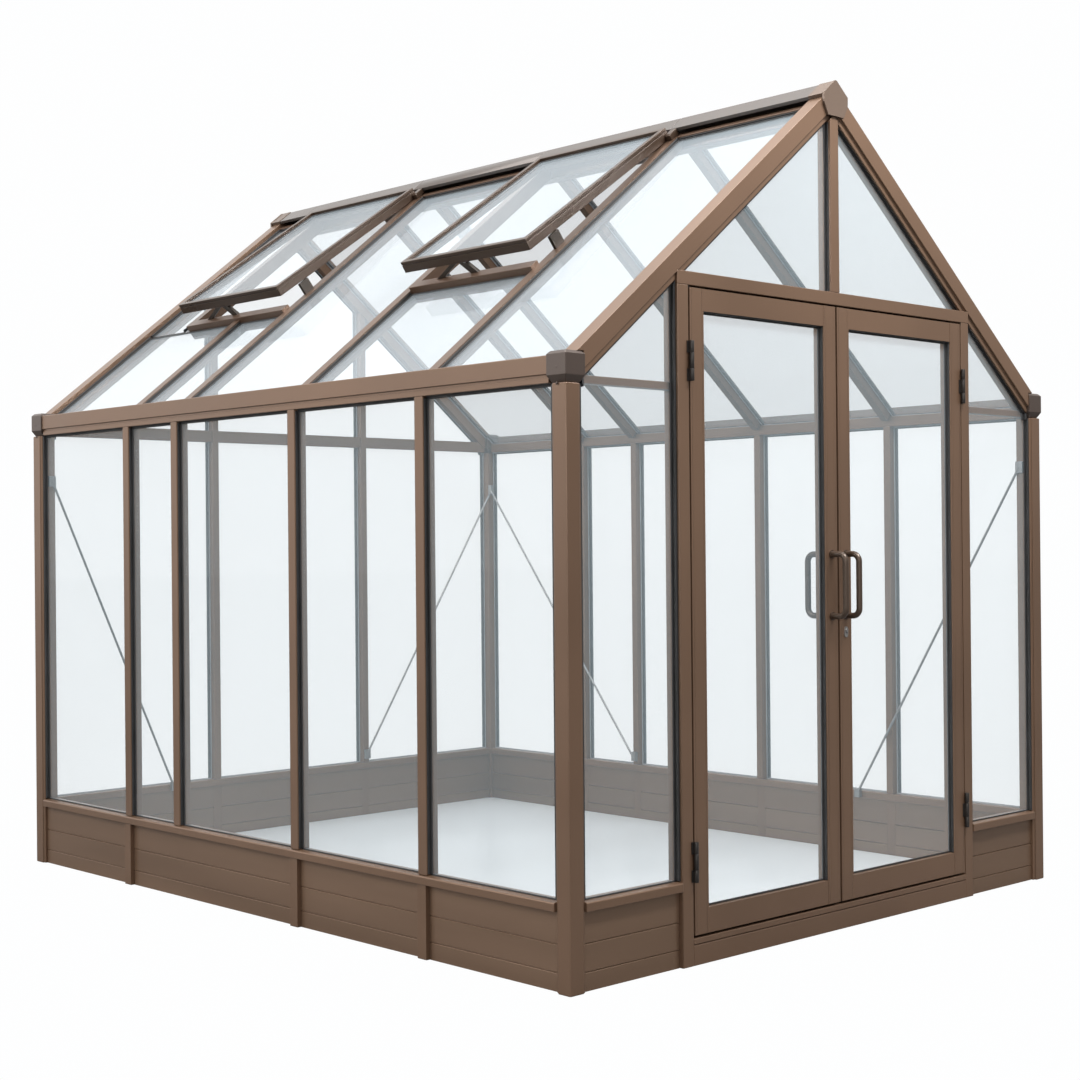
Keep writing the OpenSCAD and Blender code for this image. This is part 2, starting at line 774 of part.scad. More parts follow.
// ---- door leaves (left one drawn, right one mirrored) ----

// a stile from x0, with a fine groove near each edge of its outer face
module stile(x0)
  translate([x0, -hl, leaf_z0]) linear_extrude(leaf_z1 - leaf_z0) polygon([
    [0, 0], [7, 0], [7.6, 1], [8.2, 0], [stile_w - 8.2, 0],
    [stile_w - 7.6, 1], [stile_w - 7, 0], [stile_w, 0],
    [stile_w, leaf_t], [0, leaf_t]
  ]);

module leaf_stiles() {
  stile(-leaf_x0);
  stile(-leaf_x1 - stile_w);
}

module leaf_rails() {
  block([-leaf_x0 + stile_w, -hl + 0.6, leaf_z1 - top_rail_h],
        [-leaf_x1 - stile_w, -hl + leaf_t - 0.6, leaf_z1]);
  block([-leaf_x0 + stile_w, -hl + 0.6, leaf_z0],
        [-leaf_x1 - stile_w, -hl + leaf_t - 0.6, leaf_z0 + bottom_rail_h]);
}

module leaf_glass()
  block([-leaf_x0 + stile_w, -hl + 18, leaf_z0 + bottom_rail_h],
        [-leaf_x1 - stile_w, -hl + 22, leaf_z1 - top_rail_h]);

// D-shaped pull: two legs, two bends and a straight grip, from the face
module pull() {
  translate([0, 0, 0]) rotate([90, 0, 0])
    cylinder(r = pull_r, h = pull_out - pull_bend, $fn = 32);
  translate([0, 0, pull_l]) rotate([90, 0, 0])
    cylinder(r = pull_r, h = pull_out - pull_bend, $fn = 32);
  translate([0, -pull_out, pull_bend])
    cylinder(r = pull_r, h = pull_l - 2 * pull_bend, $fn = 32);
  translate([0, -pull_out + pull_bend, pull_bend]) rotate([0, 0, -90])
    rotate([90, 0, 0]) rotate([0, 0, -90])
      rotate_extrude(angle = 90, $fn = 48)
        translate([pull_bend, 0]) circle(r = pull_r, $fn = 32);
  translate([0, -pull_out + pull_bend, pull_l - pull_bend])
    mirror([0, 0, 1]) rotate([0, 0, -90])
      rotate([90, 0, 0]) rotate([0, 0, -90])
        rotate_extrude(angle = 90, $fn = 48)
          translate([pull_bend, 0]) circle(r = pull_r, $fn = 32);
  for (z = [0, pull_l]) translate([0, 0, z]) rotate([90, 0, 0])
    cylinder(r = pull_r + 3.5, h = 5, $fn = 32);
}

pull_x = leaf_x1 + stile_w / 2;

module leaf_handles() {
  translate([-pull_x, -hl, pull_z]) pull();
  translate([-pull_x, -hl + leaf_t, pull_z]) mirror([0, 1, 0]) pull();
}

module left_door_stiles() color(bronze) leaf_stiles();
module left_door_rails() color(bronze) leaf_rails();
module left_door_glass() color(pane) leaf_glass();
module left_door_handles() color(bronze) leaf_handles();
module right_door_stiles() color(bronze) mirror([1, 0, 0]) leaf_stiles();
module right_door_rails() color(bronze) mirror([1, 0, 0]) leaf_rails();
module right_door_glass() color(pane) mirror([1, 0, 0]) leaf_glass();
module right_door_handles() color(bronze) mirror([1, 0, 0]) leaf_handles();

// oval lock escutcheon with its cylinder, under the right leaf's pull
module door_lock() color(grey)
  translate([pull_x, -hl, pull_z - 52]) {
    rotate([90, 0, 0]) linear_extrude(3) hull() {
      translate([0, 8]) circle(r = 9, $fn = 32);
      translate([0, -8]) circle(r = 9, $fn = 32);
    }
    translate([0, 0, 6]) rotate([90, 0, 0]) cylinder(r = 6, h = 6, $fn = 32);
  }

floor_slab();  // floor
corner_posts();
side_wall_bars();
back_wall_posts();
wall_sills();
side_base_panels();
gable_base_panels();
base_posts();
eave_beams();
front_rafters();
back_rafters();
king_mullion();
gable_rails();
left_roof_bars();
right_roof_bars();
ridge_beam();
ridge_capping();
ridge_end_caps();
eave_corner_caps();
door_posts();
door_header();
threshold();
left_wall_glass();
right_wall_glass();
front_glass();
back_glass();
left_roof_glass();
right_roof_glass();
roof_vent_frames();
roof_vent_glass();
vent_hinge_rails();
vent_sills();
vent_stays();
brace_rods();
post_hinges();
left_door_stiles();
left_door_rails();
left_door_glass();
left_door_handles();
left_door_hinges();
right_door_stiles();
right_door_rails();
right_door_glass();
right_door_handles();
right_door_hinges();
door_lock();
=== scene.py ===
import math

import bmesh
import bpy
from mathutils import Matrix, Vector


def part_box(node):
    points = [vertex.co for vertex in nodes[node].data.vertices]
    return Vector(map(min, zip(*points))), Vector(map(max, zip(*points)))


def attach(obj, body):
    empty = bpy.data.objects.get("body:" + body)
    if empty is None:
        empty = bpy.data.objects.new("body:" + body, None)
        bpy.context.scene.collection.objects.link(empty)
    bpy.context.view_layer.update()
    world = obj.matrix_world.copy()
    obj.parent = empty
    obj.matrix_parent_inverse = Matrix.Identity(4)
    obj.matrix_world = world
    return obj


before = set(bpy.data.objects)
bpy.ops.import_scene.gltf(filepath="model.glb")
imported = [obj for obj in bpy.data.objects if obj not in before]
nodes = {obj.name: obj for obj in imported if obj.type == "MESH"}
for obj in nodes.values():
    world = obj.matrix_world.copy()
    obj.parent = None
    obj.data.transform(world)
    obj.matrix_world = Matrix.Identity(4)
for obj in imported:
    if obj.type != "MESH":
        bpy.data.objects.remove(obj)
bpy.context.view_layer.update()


# ---------------------------------------------------------------- camera
# A person's eye, standing a few steps off the building's left front corner
# and looking along its diagonal, almost level.
eye = (-4.539, -4.932, 1.220)
heading = math.radians(43.35)
tilt = math.radians(0.12)
roll = math.radians(-0.52)

lens = bpy.data.cameras.new("camera")
lens.lens = 59.55
lens.sensor_width = 36.0
lens.clip_start = 0.05
lens.clip_end = 200.0
camera = bpy.data.objects.new("camera", lens)
bpy.context.scene.collection.objects.link(camera)
camera.matrix_world = (
    Matrix.Translation(eye)
    @ Matrix.Rotation(-heading, 4, "Z")
    @ Matrix.Rotation(math.pi / 2 + tilt, 4, "X")
    @ Matrix.Rotation(roll, 4, "Z")
)
bpy.context.scene.camera = camera


# ---------------------------------------------------------------- studio
# A plain white studio: seamless paper and a pale backdrop that look white to
# the eye, with more light from the left than the right, and soft boxes.
studio = bpy.data.worlds.new("studio_white")
studio.use_nodes = True
walls = studio.node_tree
toward = walls.nodes.new("ShaderNodeTexCoord")
left_wall = walls.nodes.new("ShaderNodeVectorMath")
left_wall.operation = "DOT_PRODUCT"
left_wall.inputs[1].default_value = (-0.86, 0.42, 0.28)
walls.links.new(toward.outputs["Generated"], left_wall.inputs[0])
wall_light = walls.nodes.new("ShaderNodeMapRange")
wall_light.inputs["From Min"].default_value = -1.0
wall_light.inputs["From Max"].default_value = 1.0
wall_light.inputs["To Min"].default_value = 0.40
wall_light.inputs["To Max"].default_value = 1.85
walls.links.new(left_wall.outputs["Value"], wall_light.inputs["Value"])
lit = walls.nodes["Background"]
lit.inputs["Color"].default_value = (1.0, 0.99, 0.98, 1.0)
walls.links.new(wall_light.outputs["Result"], lit.inputs["Strength"])
backdrop = walls.nodes.new("ShaderNodeBackground")
backdrop.inputs["Color"].default_value = (0.99, 0.993, 0.996, 1.0)
seen = walls.nodes.new("ShaderNodeLightPath")
chosen = walls.nodes.new("ShaderNodeMixShader")
walls.links.new(seen.outputs["Is Camera Ray"], chosen.inputs["Fac"])
walls.links.new(lit.outputs["Background"], chosen.inputs[1])
walls.links.new(backdrop.outputs["Background"], chosen.inputs[2])
walls.links.new(chosen.outputs["Shader"], walls.nodes["World Output"].inputs["Surface"])
bpy.context.scene.world = studio
bpy.context.scene.view_settings.view_transform = "Standard"

paper = bpy.data.materials.new("seamless_paper")
paper.use_nodes = True
sheet = paper.node_tree
paper_shader = sheet.nodes["Principled BSDF"]
paper_shader.inputs["Base Color"].default_value = (0.16, 0.16, 0.16, 1.0)
paper_shader.inputs["Roughness"].default_value = 0.95
paper_shader.inputs["Specular IOR Level"].default_value = 0.05
paper_glow = sheet.nodes.new("ShaderNodeEmission")
paper_glow.inputs["Color"].default_value = (0.99, 0.993, 0.996, 1.0)
paper_seen = sheet.nodes.new("ShaderNodeLightPath")
paper_mix = sheet.nodes.new("ShaderNodeMixShader")
sheet.links.new(paper_seen.outputs["Is Camera Ray"], paper_mix.inputs["Fac"])
sheet.links.new(paper_shader.outputs["BSDF"], paper_mix.inputs[1])
sheet.links.new(paper_glow.outputs["Emission"], paper_mix.inputs[2])
sheet.links.new(paper_mix.outputs["Shader"], sheet.nodes["Material Output"].inputs["Surface"])

bpy.ops.mesh.primitive_plane_add(size=120.0, location=(0.0, 0.0, -0.002))
studio_floor = bpy.context.object
studio_floor.name = "studio_floor"
studio_floor.data.materials.append(paper)


def soft_box(name, at, aim, width, height, watts):
    """An area light hung at a point and turned to face another."""
    data = bpy.data.lights.new(name, "AREA")
    data.shape = "RECTANGLE"
    data.size = width
    data.size_y = height
    data.energy = watts
    box = bpy.data.objects.new(name, data)
    bpy.context.scene.collection.objects.link(box)
    box.location = at
    box.rotation_euler = (Vector(aim) - Vector(at)).to_track_quat("-Z", "Y").to_euler()
    return box


soft_box("overhead_box", (-1.2, -0.4, 6.4), (0.0, 0.0, 1.5), 4.0, 5.0, 300.0)
soft_box("left_box", (-5.5, 1.4, 4.2), (-1.0, 0.0, 1.6), 2.4, 1.6, 160.0)
soft_box("arris_light", (-6.0, -6.6, 2.6), (-1.0, -1.3, 1.4), 0.5, 2.4, 45.0)
soft_box("front_box", (0.4, -3.3, 4.6), (0.2, -1.5, 2.3), 2.6, 0.8, 290.0)


# ---------------------------------------------------------------- frame
# Extruded aluminium posts, bars, rails and beams, cut to length, screwed
# together and powder coated in a satin bronze with a very fine orange peel.
def shader_tree(name):
    """A new material with its tree, its shader and the object's own coordinates."""
    material = bpy.data.materials.new(name)
    material.use_nodes = True
    tree = material.node_tree
    where = tree.nodes.new("ShaderNodeTexCoord")
    return material, tree, tree.nodes["Principled BSDF"], where.outputs["Object"]


def noise(tree, where, scale, detail=3.0, stretch=(1.0, 1.0, 1.0)):
    """Noise over the object's own coordinates, scaled in each direction."""
    place = tree.nodes.new("ShaderNodeMapping")
    place.inputs["Scale"].default_value = stretch
    tree.links.new(where, place.inputs["Vector"])
    texture = tree.nodes.new("ShaderNodeTexNoise")
    texture.inputs["Scale"].default_value = scale
    texture.inputs["Detail"].default_value = detail
    tree.links.new(place.outputs["Vector"], texture.inputs["Vector"])
    return texture.outputs["Fac"]


def ramp(tree, value, stops):
    """Colours at given heights of a value."""
    made = tree.nodes.new("ShaderNodeValToRGB")
    elements = made.color_ramp.elements
    while len(elements) < len(stops):
        elements.new(0.5)
    for element, (at, colour) in zip(elements, stops):
        element.position = at
        element.color = (*colour, 1.0)
    tree.links.new(value, made.inputs["Fac"])
    return made.outputs["Color"]


def spread(tree, value, low, high):
    """A value from 0 to 1 moved to the range low to high."""
    made = tree.nodes.new("ShaderNodeMapRange")
    made.inputs["From Min"].default_value = 0.3
    made.inputs["From Max"].default_value = 0.7
    made.inputs["To Min"].default_value = low
    made.inputs["To Max"].default_value = high
    tree.links.new(value, made.inputs["Value"])
    return made.outputs["Result"]


def bump(tree, height, strength, distance):
    """A small relief from a height value."""
    made = tree.nodes.new("ShaderNodeBump")
    made.inputs["Strength"].default_value = strength
    made.inputs["Distance"].default_value = distance
    tree.links.new(height, made.inputs["Height"])
    return made.outputs["Normal"]


def powder_coat(name, colour, rough, grain=(1.0, 1.0, 1.0)):
    """Satin powder coat: broad tone drift, fine flake, orange-peel relief."""
    material, tree, shader, where = shader_tree(name)
    broad = noise(tree, where, 1.7, 2.0, grain)
    flake = noise(tree, where, 1400.0, 1.0)
    dark = tuple(c * 0.92 for c in colour)
    light = tuple(c * 1.08 for c in colour)
    drift = ramp(tree, broad, [(0.30, dark), (0.70, light)])
    glint = ramp(tree, flake, [(0.35, (0.84, 0.84, 0.84)), (0.72, (1.12, 1.10, 1.07))])
    mixed = tree.nodes.new("ShaderNodeMix")
    mixed.data_type = "RGBA"
    mixed.blend_type = "MULTIPLY"
    mixed.inputs["Factor"].default_value = 0.35
    tree.links.new(drift, mixed.inputs["A"])
    tree.links.new(glint, mixed.inputs["B"])
    tree.links.new(mixed.outputs["Result"], shader.inputs["Base Color"])
    shader.inputs["Metallic"].default_value = 0.42
    tree.links.new(spread(tree, broad, rough - 0.04, rough + 0.06), shader.inputs["Roughness"])
    peel = noise(tree, where, 420.0, 2.0)
    tree.links.new(bump(tree, peel, 0.12, 0.0003), shader.inputs["Normal"])
    return material


def dress(node, material, edge=0.0020):
    """Gives a CAD node its finish, and breaks its sharp edges by a given radius."""
    piece = nodes[node]
    piece.data.materials.clear()
    piece.data.materials.append(material)
    if edge > 0:
        weld = piece.modifiers.new("weld", "WELD")
        weld.merge_threshold = 0.00002
        soft = piece.modifiers.new("broken_edges", "BEVEL")
        soft.width = edge
        soft.segments = 2
        soft.limit_method = "ANGLE"
        soft.angle_limit = math.radians(28)
        soft.harden_normals = True
    return piece


bronze = powder_coat("bronze_powder_coat", (0.140, 0.084, 0.053), 0.34)
dress("corner_posts", bronze, 0.0034)
dress("wall_sills", bronze, 0.0030)
# The roof bars, ridge beam and vent sills take a darker copy of the frame's bronze: painted
# shade on their upward faces.
roof_bronze_painted_shade = powder_coat("roof_bar_bronze_painted_shade", (0.100, 0.060, 0.039), 0.32)
for name in ("left_roof_bars", "right_roof_bars", "ridge_beam", "vent_sills"):
    dress(name, roof_bronze_painted_shade)
for name in (
    "side_wall_bars", "back_wall_posts", "base_posts", "eave_beams", "front_rafters",
    "back_rafters", "king_mullion", "gable_rails", "door_posts", "door_header", "threshold",
    "left_door_stiles", "left_door_rails", "right_door_stiles", "right_door_rails",
):
    dress(name, bronze)


# ---------------------------------------------------------------- base
# Hollow aluminium boards, three high, that slot together between the posts;
# drawn in the same bronze, with faint long streaks from the extrusion.
boards = powder_coat("bronze_boards", (0.144, 0.090, 0.058), 0.34, (0.4, 0.4, 6.0))
dress("side_base_panels", boards, 0.0008)
dress("gable_base_panels", boards, 0.0008)


# ---------------------------------------------------------------- castings
# Die-cast corner caps at the eaves and the ridge, in a darker brown coat, and
# the ridge capping, folded from sheet in lengths.
cast_brown = powder_coat("dark_brown_castings", (0.062, 0.045, 0.037), 0.36)
dress("eave_corner_caps", cast_brown, 0.0020)
end_cap_coat = powder_coat("ridge_end_cap_coat", (0.112, 0.078, 0.058), 0.38)
dress("ridge_end_caps", end_cap_coat, 0.0018)
# The ridge capping is the same bronze; its greyer, less saturated colour is painted sky
# reflection, its sheen at a grazing angle.
capping = powder_coat("ridge_capping_painted_sky_sheen", (0.082, 0.070, 0.063), 0.30)
dress("ridge_capping", capping, 0.0014)


# Two short pan-head screws go into the side of each eave cap.
def pan_head(shape, at, out, radius, height):
    """A domed screw head with a cross recess, sitting on a face that looks out."""
    sides = 16
    turn = Vector((0, 0, 1)).rotation_difference(Vector(out)).to_matrix().to_4x4()
    place = Matrix.Translation(at) @ turn
    rings = [(radius, 0.0), (radius, height * 0.35), (radius * 0.85, height * 0.75),
             (radius * 0.55, height), (radius * 0.36, height), (radius * 0.10, height * 0.4)]
    rows = []
    for reach, lift in rings:
        row = []
        for k in range(sides):
            in_recess = reach < radius * 0.5 and k % 4 == 2
            pull = 0.45 if in_recess else 1.0
            angle = k * math.tau / sides
            row.append(shape.verts.new(place @ Vector((
                reach * pull * math.cos(angle), reach * pull * math.sin(angle), lift))))
        rows.append(row)
    for low, high in zip(rows, rows[1:]):
        for k in range(sides):
            m = (k + 1) % sides
            shape.faces.new((low[k], low[m], high[m], high[k]))
    shape.faces.new(rows[0])
    shape.faces.new(rows[-1])


def new_piece(name, shape, material, body):
    """Makes an object of a shape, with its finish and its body."""
    mesh = bpy.data.meshes.new(name)
    bmesh.ops.recalc_face_normals(shape, faces=shape.faces)
    shape.to_mesh(mesh)
    shape.free()
    piece = bpy.data.objects.new(name, mesh)
    piece.data.materials.append(material)
    bpy.context.scene.collection.objects.link(piece)
    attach(piece, body)
    return piece


caps_low, caps_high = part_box("eave_corner_caps")
screw_radius = 0.0042
screw_height = 0.0022
screw_sunk = 0.0018
screw_from_end = 0.036
screws_below_top = (0.045, 0.090)
shape = bmesh.new()
for x, way in ((caps_low[0], -1), (caps_high[0], 1)):
    for y in (caps_low[1] + screw_from_end, caps_high[1] - screw_from_end):
        for down in screws_below_top:
            at = Vector((x - way * screw_sunk, y, caps_high[2] - down))
            pan_head(shape, at, (way, 0, 0), screw_radius, screw_height)
new_piece("cap_screws", shape, cast_brown, "building")


# ---------------------------------------------------------------- vents
# Two top-hung roof lights: a shallow extruded frame in a deeper bronze, a
# hinge rail along the top edge, and pressed black struts that hold it open.
vent_bronze = powder_coat("dark_bronze_vents", (0.046, 0.028, 0.018), 0.30)
dress("roof_vent_frames", vent_bronze, 0.0014)
dress("vent_hinge_rails", vent_bronze, 0.0014)
strut_coat = powder_coat("strut_coat", (0.032, 0.024, 0.018), 0.40)
dress("vent_stays", strut_coat, 0.0006)


# ---------------------------------------------------------------- glass
# Toughened 4 mm float glass, very pale blue. The roof panes catch more of the
# sky than the walls, so they are drawn milkier: painted sky reflection.
def clear_glass(name, alpha, low, high):
    """Thin glass that lets light straight through, with a faint pale haze."""
    material, tree, shader, where = shader_tree(name)
    cloud = noise(tree, where, 0.8, 1.0, (1.0, 1.0, 0.5))
    colour = ramp(tree, cloud, [(0.30, low), (0.70, high)])
    tree.links.new(colour, shader.inputs["Base Color"])
    shader.inputs["Roughness"].default_value = 0.03
    shader.inputs["IOR"].default_value = 1.45
    shader.inputs["Alpha"].default_value = alpha
    return material


wall_pane = clear_glass("pale_blue_glass", 0.10, (0.44, 0.54, 0.59), (0.50, 0.60, 0.65))
for name in (
    "left_wall_glass", "right_wall_glass", "front_glass", "back_glass",
    "left_door_glass", "right_door_glass",
):
    dress(name, wall_pane, 0.0)
# The roof panes' denser pale haze is painted sky reflection.
roof_pane_painted_sky = clear_glass("roof_glass_painted_sky_haze", 0.22, (0.40, 0.46, 0.50), (0.45, 0.51, 0.55))
for name in ("left_roof_glass", "right_roof_glass", "roof_vent_glass"):
    dress(name, roof_pane_painted_sky, 0.0)


# ---------------------------------------------------------------- gaskets
# Black rubber strips round every pane on the weather side, pushed into the
# grooves of the bars, with a thin chamfered lip on the glass, and a slim grey
# glazing bead on the side towards the room. Beside the bars, and on the door
# stiles and top rails, the black strips stand tall over the bars' sides: painted shade.
def sealing_rubber(name, low, high):
    """Matt rubber with a faint bloom."""
    material, tree, shader, where = shader_tree(name)
    bloom = noise(tree, where, 9.0, 3.0)
    tree.links.new(ramp(tree, bloom, [(0.3, low), (0.7, high)]), shader.inputs["Base Color"])
    tree.links.new(spread(tree, bloom, 0.50, 0.66), shader.inputs["Roughness"])
    fine = noise(tree, where, 700.0, 2.0)
    tree.links.new(bump(tree, fine, 0.1, 0.0002), shader.inputs["Normal"])
    return material


def pane_outlines(node, outward):
    """The outline of every pane of a glass node, on the face that looks outward."""
    shape = bmesh.new()
    shape.from_mesh(nodes[node].data)
    bmesh.ops.remove_doubles(shape, verts=shape.verts, dist=0.00002)
    bmesh.ops.dissolve_limit(shape, angle_limit=math.radians(1), verts=shape.verts,
                             edges=shape.edges)
    shape.normal_update()
    found = [(face.normal.copy(), [v.co.copy() for v in face.verts])
             for face in shape.faces if face.normal.dot(Vector(outward)) > 0.99]
    shape.free()
    return found


def corner(point, a, b, da, db):
    """Where two lines cross that lie da and db inside a corner's two edges."""
    c = a.dot(b)
    if abs(c) > 0.999:
        return point + b * db
    k = 1 - c * c
    return point + a * ((da - c * db) / k) + b * ((db - c * da) / k)


def gasket(node, body, outward, section_at, side, material):
    """Strips on the glass, mitred together along every edge of a node's panes."""
    shape = bmesh.new()
    for normal, points in pane_outlines(node, outward):
        count = len(points)
        ways = [normal.cross(points[(i + 1) % count] - points[i]).normalized()
                for i in range(count)]
        sections = [section_at(ways[i], (points[i] + points[(i + 1) % count]) / 2)
                    for i in range(count)]
        for i in range(count):
            rows = []
            for cut, lift in sections[i]:
                before = min(cut, sections[i - 1][-1][0])
                after = min(cut, sections[(i + 1) % count][-1][0])
                start = corner(points[i], ways[i - 1], ways[i], before, cut)
                end = corner(points[(i + 1) % count], ways[i], ways[(i + 1) % count],
                             cut, after)
                rows.append([shape.verts.new(p + normal * lift) for p in (start, end)])
            for low, high in zip(rows, rows[1:] + rows[:1]):
                shape.faces.new((low[0], low[1], high[1], high[0]))
            shape.faces.new([row[0] for row in rows])
            shape.faces.new([row[1] for row in rows])
    return new_piece(node + "_" + side + "_gasket", shape, material, body)


lip_height = 0.003
lip_taper = 0.0015
lip_edge = 0.001


def lip(width, upstand, thick, hidden=0.0):
    """A strip's section: the part that stands against the bar, then the lip.

    Each point is a distance in from the pane's edge and a height off the glass.
    The part of the width called hidden lies behind the bar."""
    wall = hidden + thick
    if upstand <= lip_height:
        return [(0.0, 0.0), (0.0, thick), (width - lip_taper, thick),
                (width, thick * 0.4), (width, 0.0)]
    return [(0.0, 0.0), (0.0, upstand), (wall - lip_edge, upstand),
            (wall, upstand - lip_edge), (wall, lip_height),
            (width - lip_taper, lip_height), (width, lip_edge), (width, 0.0)]


# A strip is known by the way from its edge into the pane: up from a sill,
# down from a head, and along y beside the roof bars.
mostly_up = 0.7
mostly_down = -0.5
mostly_along = 0.7
near_ridge = 2.5


def wall_lip_shade_upstand(way, middle):
    """Deep beside the bars, a tall black upstand over their sides as painted shade, lower at
    the head, and a thin line on the sill.
    """
    if way.z > mostly_up:
        return lip(0.0045, 0.0, 0.002)
    if way.z < mostly_down:
        return lip(0.009, 0.008, 0.003)
    return lip(0.014, 0.0135, 0.0025, 0.005)


def roof_lip_shade_upstand(way, middle):
    """Deep beside the bars, a black upstand over their sides as painted shade, and deep under
    the head rail, thin at the eave.
    """
    if abs(way.y) > mostly_along:
        return lip(0.013, 0.0105, 0.0025, 0.005)
    if way.z > 0:
        return lip(0.004, 0.0, 0.002)
    if middle.z > near_ridge:
        return lip(0.034, 0.008, 0.003, 0.026)
    return lip(0.008, 0.0, 0.002)


def door_lip_shade_upstand(way, middle):
    """Deep on the stiles and the top rail, a black upstand over their sides as painted shade,
    and thin on the bottom rail.
    """
    return lip(0.006, 0.0, 0.002) if way.z > mostly_up else lip(0.007, 0.014, 0.0025)


def vent_lip(way, middle):
    """A low flat strip on every side of a vent's pane."""
    return lip(0.006, 0.0, 0.002)


def inner_lip(way, middle):
    """A slim flat bead, the same on every side."""
    return lip(0.004, 0.0, 0.002)


rubber = sealing_rubber("gasket_rubber", (0.008, 0.008, 0.008), (0.016, 0.016, 0.017))
bead = sealing_rubber("grey_glazing_bead", (0.20, 0.21, 0.22), (0.26, 0.27, 0.28))
slope = math.radians(38.5)
up_left = (-math.sin(slope), 0.0, math.cos(slope))
up_right = (math.sin(slope), 0.0, math.cos(slope))
for name, body, outward, section_at in (
    ("left_wall_glass", "building", (-1, 0, 0), wall_lip_shade_upstand),
    ("right_wall_glass", "building", (1, 0, 0), wall_lip_shade_upstand),
    ("front_glass", "building", (0, -1, 0), wall_lip_shade_upstand),
    ("back_glass", "building", (0, 1, 0), wall_lip_shade_upstand),
    ("left_door_glass", "left_door", (0, -1, 0), door_lip_shade_upstand),
    ("right_door_glass", "right_door", (0, -1, 0), door_lip_shade_upstand),
    ("left_roof_glass", "building", up_left, roof_lip_shade_upstand),
    ("right_roof_glass", "building", up_right, roof_lip_shade_upstand),
    ("roof_vent_glass", "building", up_left, vent_lip),
):
    gasket(name, body, outward, section_at, "outer", rubber)
    gasket(name, body, tuple(-c for c in outward), inner_lip, "inner", bead)


# Black plugs close the open feet of the roof bars, above the eaves. Each ring
# is how much smaller it is than the bar's end, and how far it stands off it.
plug_rings = ((0.02, 0.0), (0.02, 0.0025), (0.06, 0.0035))


def end_plugs(name, node, down):
    """A thin plug on every end face of a node's bars that looks down the slope."""
    bars = bmesh.new()
    bars.from_mesh(nodes[node].data)
    bmesh.ops.remove_doubles(bars, verts=bars.verts, dist=0.00002)
    bmesh.ops.dissolve_limit(bars, angle_limit=math.radians(1), verts=bars.verts,
                             edges=bars.edges)
    bars.normal_update()
    way = Vector(down)
    shape = bmesh.new()
    for face in bars.faces:
        if face.normal.dot(way) < 0.95:
            continue
        middle = face.calc_center_median()
        rows = [[shape.verts.new(v.co.lerp(middle, shrink) + way * lift) for v in face.verts]
                for shrink, lift in plug_rings]
        count = len(face.verts)
        for low, high in zip(rows, rows[1:]):
            for k in range(count):
                m = (k + 1) % count
                shape.faces.new((low[k], low[m], high[m], high[k]))
        shape.faces.new(rows[0])
        shape.faces.new(rows[-1])
    bars.free()
    new_piece(name, shape, rubber, "building")


end_plugs("left_bar_plugs", "left_roof_bars", (-math.cos(slope), 0.0, -math.sin(slope)))
end_plugs("right_bar_plugs", "right_roof_bars", (math.cos(slope), 0.0, -math.sin(slope)))


# ---------------------------------------------------------------- seals
# Black brush pile strips in the doorway: on the stops behind both leaves, on
# the threshold's lip, and in the leaves' meeting edges. A thin black strip at
# the joint between the header and each of its end blocks is painted shadow.
def strip(shape, low, high, chamfer):
    """A bar between two corners, with its four long edges chamfered."""
    made = bmesh.ops.create_cube(shape, size=1.0)["verts"]
    low, high = Vector(low), Vector(high)
    for v in made:
        v.co = Vector(low[k] + (v.co[k] + 0.5) * (high[k] - low[k]) for k in range(3))
    spans = high - low
    along = max(range(3), key=lambda k: spans[k])
    edges = {e for v in made for e in v.link_edges
             if abs(e.verts[0].co[along] - e.verts[1].co[along]) > spans[along] * 0.5}
    bmesh.ops.bevel(shape, geom=list(edges), offset=chamfer, segments=2, affect="EDGES")


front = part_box("door_posts")[0][1]
stile_low, stile_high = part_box("left_door_stiles")
header_low, header_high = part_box("door_header")
sill_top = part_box("threshold")[1][2]
stop_y = front + 0.046
jamb = 0.694
brush_front = stop_y - 0.0045
brush_inner = jamb - 0.0115
brush_outer = jamb - 0.0015
brush_end = jamb - 0.012
brush_edge = 0.001

shape = bmesh.new()
for side in (-1, 1):
    xs = sorted((side * brush_inner, side * brush_outer))
    strip(shape, (xs[0], brush_front, stile_low[2]), (xs[1], stop_y, stile_high[2]), brush_edge)
strip(shape, (-brush_end, brush_front, header_low[2] + 0.001),
      (brush_end, stop_y, header_low[2] + 0.0105), brush_edge)
strip(shape, (-brush_end, brush_front, sill_top - 0.0145),
      (brush_end, stop_y, sill_top - 0.003), brush_edge)
new_piece("doorway_brush_seals", shape, rubber, "building")

# Each header joint gets a thin black strip, standing slightly proud: painted shadow of the
# joint.
joint_half = 0.0005
joint_front = header_low[1] + 0.0002
joint_back = header_low[1] + 0.0015
joint_from_edge = 0.002
shape = bmesh.new()
for side in (-1, 1):
    xs = sorted((side * (jamb - joint_half), side * (jamb + joint_half)))
    strip(shape, (xs[0], joint_front, header_low[2] + joint_from_edge),
          (xs[1], joint_back, header_high[2] - joint_from_edge), 0.0001)
new_piece("header_joint_painted_shadow", shape, rubber, "building")

meeting_gap, meeting_wide = 0.0012, 0.0050
meeting_from_end = 0.002
for body, side in (("left_door", -1), ("right_door", 1)):
    shape = bmesh.new()
    xs = sorted((side * meeting_gap, side * meeting_wide))
    strip(shape, (xs[0], front + 0.020, stile_low[2] + meeting_from_end),
          (xs[1], front + 0.034, stile_high[2] - meeting_from_end), 0.0008)
    new_piece(body + "_meeting_seal", shape, rubber, body)


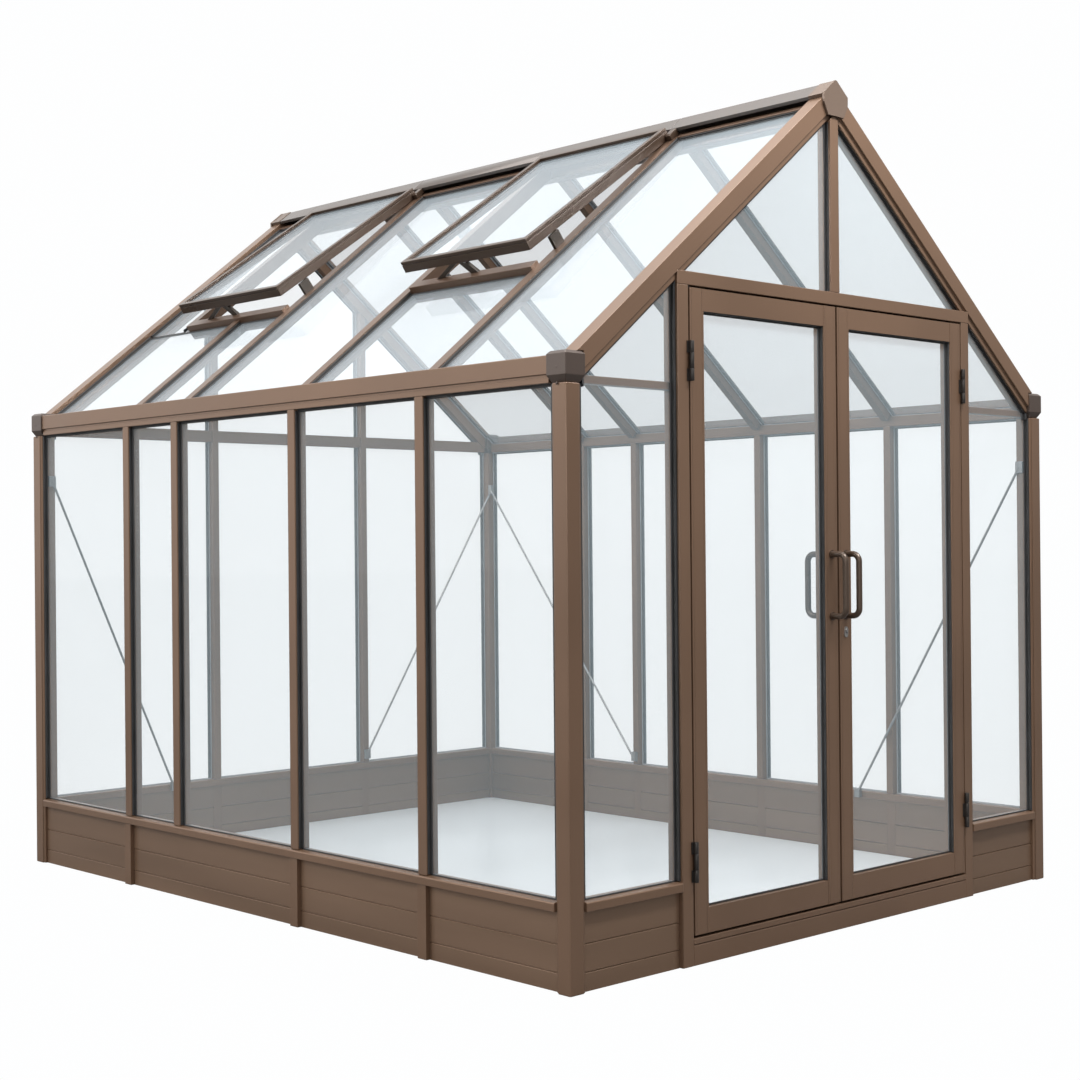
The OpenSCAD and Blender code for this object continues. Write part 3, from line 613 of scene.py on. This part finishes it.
# ---------------------------------------------------------------- hinges
# Two steel butt hinges to each leaf, powder coated black, with a loose pin and
# flat plates screwed to the door post and to the leaf's stile.
hinge_black = powder_coat("black_hinge_steel", (0.022, 0.019, 0.017), 0.38)
dress("post_hinges", hinge_black, 0.0006)
dress("left_door_hinges", hinge_black, 0.0006)
dress("right_door_hinges", hinge_black, 0.0006)


# ---------------------------------------------------------------- handles
# D-shaped pulls bent from tube and powder coated to match the doors, one on
# each side of a leaf, bolted through its meeting stile.
pull_coat = powder_coat("pull_handle_coat", (0.060, 0.040, 0.028), 0.28)
dress("left_door_handles", pull_coat, 0.0)
dress("right_door_handles", pull_coat, 0.0)


# ---------------------------------------------------------------- steelwork
# Plain zinc-plated brace rods with flattened lugs, bolted to the posts and the
# sills, and the lock's oval steel escutcheon, pressed into the right leaf.
def plated_steel(name, colour, rough):
    """Dull plated steel with a drawn grain."""
    material, tree, shader, where = shader_tree(name)
    grain = noise(tree, where, 260.0, 2.0, (1.0, 1.0, 0.05))
    dark = tuple(c * 0.85 for c in colour)
    light = tuple(c * 1.1 for c in colour)
    tree.links.new(ramp(tree, grain, [(0.3, dark), (0.7, light)]), shader.inputs["Base Color"])
    shader.inputs["Metallic"].default_value = 0.9
    tree.links.new(spread(tree, grain, rough - 0.05, rough + 0.08), shader.inputs["Roughness"])
    return material


rod_steel = plated_steel("brace_rod_steel", (0.24, 0.24, 0.24), 0.36)
dress("brace_rods", rod_steel, 0.0)
lock_steel = plated_steel("lock_steel", (0.42, 0.41, 0.40), 0.28)
dress("door_lock", lock_steel, 0.0004)
lock_low, lock_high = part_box("door_lock")
lock_x = (lock_low[0] + lock_high[0]) / 2
lock_z = (lock_low[2] + lock_high[2]) / 2
key_half = 0.0008
shape = bmesh.new()
strip(shape, (lock_x - key_half, lock_low[1] + 0.0001, lock_z - 0.0045),
      (lock_x + key_half, lock_low[1] + 0.0020, lock_z + 0.0030), 0.0002)
new_piece("keyhole", shape, rubber, "right_door")


# ---------------------------------------------------------------- floor
# A smooth pale grey layer inside the base wall, like polished concrete, laid
# as one slab up to the boards and wiped to a soft sheen.
def polished_floor(name):
    """Pale stone grey with soft clouding and faint brushed streaks."""
    material, tree, shader, where = shader_tree(name)
    cloud = noise(tree, where, 1.2, 3.0, (1.0, 2.0, 1.0))
    colour = ramp(tree, cloud, [(0.20, (0.50, 0.53, 0.55)), (0.50, (0.51, 0.54, 0.56)),
                                (0.80, (0.52, 0.55, 0.57))])
    tree.links.new(colour, shader.inputs["Base Color"])
    tree.links.new(spread(tree, cloud, 0.30, 0.36), shader.inputs["Roughness"])
    fine = noise(tree, where, 60.0, 4.0)
    tree.links.new(bump(tree, fine, 0.05, 0.0005), shader.inputs["Normal"])
    return material


dress("floor", polished_floor("polished_pale_floor"), 0.001)
